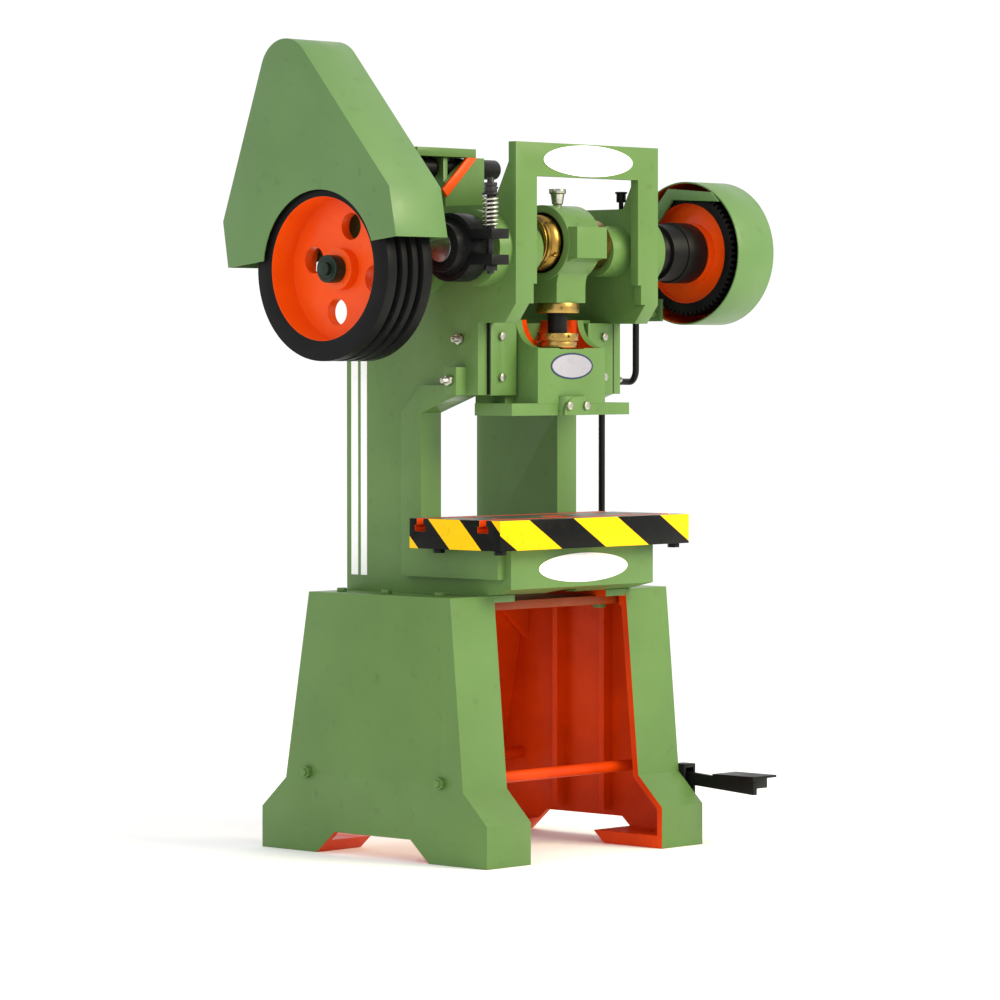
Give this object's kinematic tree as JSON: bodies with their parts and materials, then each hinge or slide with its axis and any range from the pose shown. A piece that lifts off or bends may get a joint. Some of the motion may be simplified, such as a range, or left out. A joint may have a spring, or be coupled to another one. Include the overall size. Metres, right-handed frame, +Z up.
{
  "type": "mechanical power press",
  "caption": "Geared open-back stamping press on a legged stand, with flywheel, rolling-key clutch, eccentric crank, ram, T-slotted bolster, band brake and foot treadle.",
  "frame": {"origin": "on the floor, in the middle of the stand's anchor holes", "axes": "+X to the press's right along the crankshaft, +Y to its back, +Z up"},
  "size_m": [1.057, 0.774, 1.6655],
  "materials": {
    "green_casting": "semi-gloss enamel",
    "green_sheet": "semi-gloss enamel",
    "orange_paint": "semi-gloss enamel",
    "bolster_steel": "painted sides, ground top",
    "black_steel": "satin black",
    "bright_steel": "machined",
    "zinc_fasteners": "zinc plated",
    "brass": "machined",
    "grey_trim": "satin",
    "green_ram": "painted casting",
    "dark_green": "gloss enamel"
  },
  "bodies": {
    "frame": {"leg_left": "green_casting", "leg_right": "green_casting", "cross_plate": "orange_paint", "stand_bolts": "green_casting", "tie_rods": "orange_paint", "tie_rod_nuts": "green_casting", "press_frame": "green_casting", "name_plates": "grey_trim", "bolster_plate": "bolster_steel", "bolster_bolts": "zinc_fasteners", "gib_strips": "bright_steel", "gib_covers": "green_casting", "gib_cover_bolts": "zinc_fasteners", "gib_adjusting_screws": "zinc_fasteners", "bearing_oil_cups": "black_steel", "main_bushes": "brass", "brake_shoe_upper": "black_steel", "brake_shoe_lower": "black_steel", "brake_stud": "zinc_fasteners", "brake_spring": "black_steel", "shaft_bushes": "brass", "belt_guard": "green_sheet", "gear_guard": "green_sheet", "guard_stays": "green_sheet", "motor_platform": "green_sheet", "platform_bracket": "green_casting", "platform_hinge_bar": "black_steel", "platform_brace": "orange_paint", "lever_guide": "black_steel", "pivot_pins": "black_steel"},
    "flywheel": {"countershaft": "bright_steel", "flywheel": "orange_paint", "flywheel_key": "bright_steel", "shaft_end_cap": "dark_green", "shaft_collars": "dark_green", "pinion": "bright_steel"},
    "gear": {"bull_gear": "black_steel", "gear_bush": "brass"},
    "crank": {"crankshaft": "bright_steel", "eccentric_sleeve": "brass", "clutch_body": "black_steel", "rolling_key": "bright_steel", "gear_nut": "bright_steel", "brake_drum": "black_steel"},
    "rod": {"connecting_rod": "green_ram", "ball_screw": "black_steel", "screw_collar": "brass", "lock_ring": "brass", "rod_oil_cup": "bright_steel"},
    "ram": {"ram": "green_ram", "shank_clamp": "green_casting", "clamp_bolts": "green_casting", "ball_seat": "bright_steel", "ball_retainer": "black_steel", "ram_badge": "grey_trim"},
    "treadle": {"treadle": "black_steel"},
    "pull_rod": {"pull_rod": "black_steel", "rod_clevis": "black_steel"},
    "trip_lever": {"trip_lever": "black_steel"}
  },
  "joints": [
    {"name": "flywheel_spin", "type": "hinge", "parent": "frame", "child": "flywheel", "pos_m": [0, -0.05717, 1.202], "axis": [1, 0, 0], "continuous": true},
    {"name": "gear_spin", "type": "hinge", "parent": "frame", "child": "gear", "pos_m": [0, -0.211, 1.246], "axis": [1, 0, 0], "continuous": true},
    {"name": "crank_turn", "type": "hinge", "parent": "frame", "child": "crank", "pos_m": [0, -0.211, 1.246], "axis": [1, 0, 0], "range_deg": [0, 180]},
    {"name": "rod_pivot", "type": "hinge", "parent": "crank", "child": "rod", "pos_m": [0, -0.211, 1.26], "axis": [1, 0, 0], "range_deg": [-180, 0]},
    {"name": "ram_slide", "type": "slide", "parent": "frame", "child": "ram", "axis": [0, 0, 1], "range_m": [-0.028, 0]},
    {"name": "treadle_press", "type": "hinge", "parent": "frame", "child": "treadle", "pos_m": [0.351, 0.186, 0.165], "axis": [1, 0, 0], "range_deg": [0, 5]},
    {"name": "pull_rod_slide", "type": "slide", "parent": "frame", "child": "pull_rod", "axis": [0, 0, -1], "range_m": [0, 0.01806]},
    {"name": "trip_lever_turn", "type": "hinge", "parent": "frame", "child": "trip_lever", "pos_m": [0.289, -0.09, 1.15], "axis": [1, 0, 0], "range_deg": [0, 15.92]}
  ],
  "couplings": [
    {"joint": "gear_spin", "follows": "flywheel_spin", "ratio": -0.25},
    {"joint": "rod_pivot", "follows": "crank_turn", "ratio": -1},
    {"joint": "ram_slide", "follows": "crank_turn", "m_per_rad": -0.0089127},
    {"joint": "pull_rod_slide", "follows": "treadle_press", "m_per_rad": 0.207},
    {"joint": "trip_lever_turn", "follows": "treadle_press", "ratio": 3.1846}
  ]
}
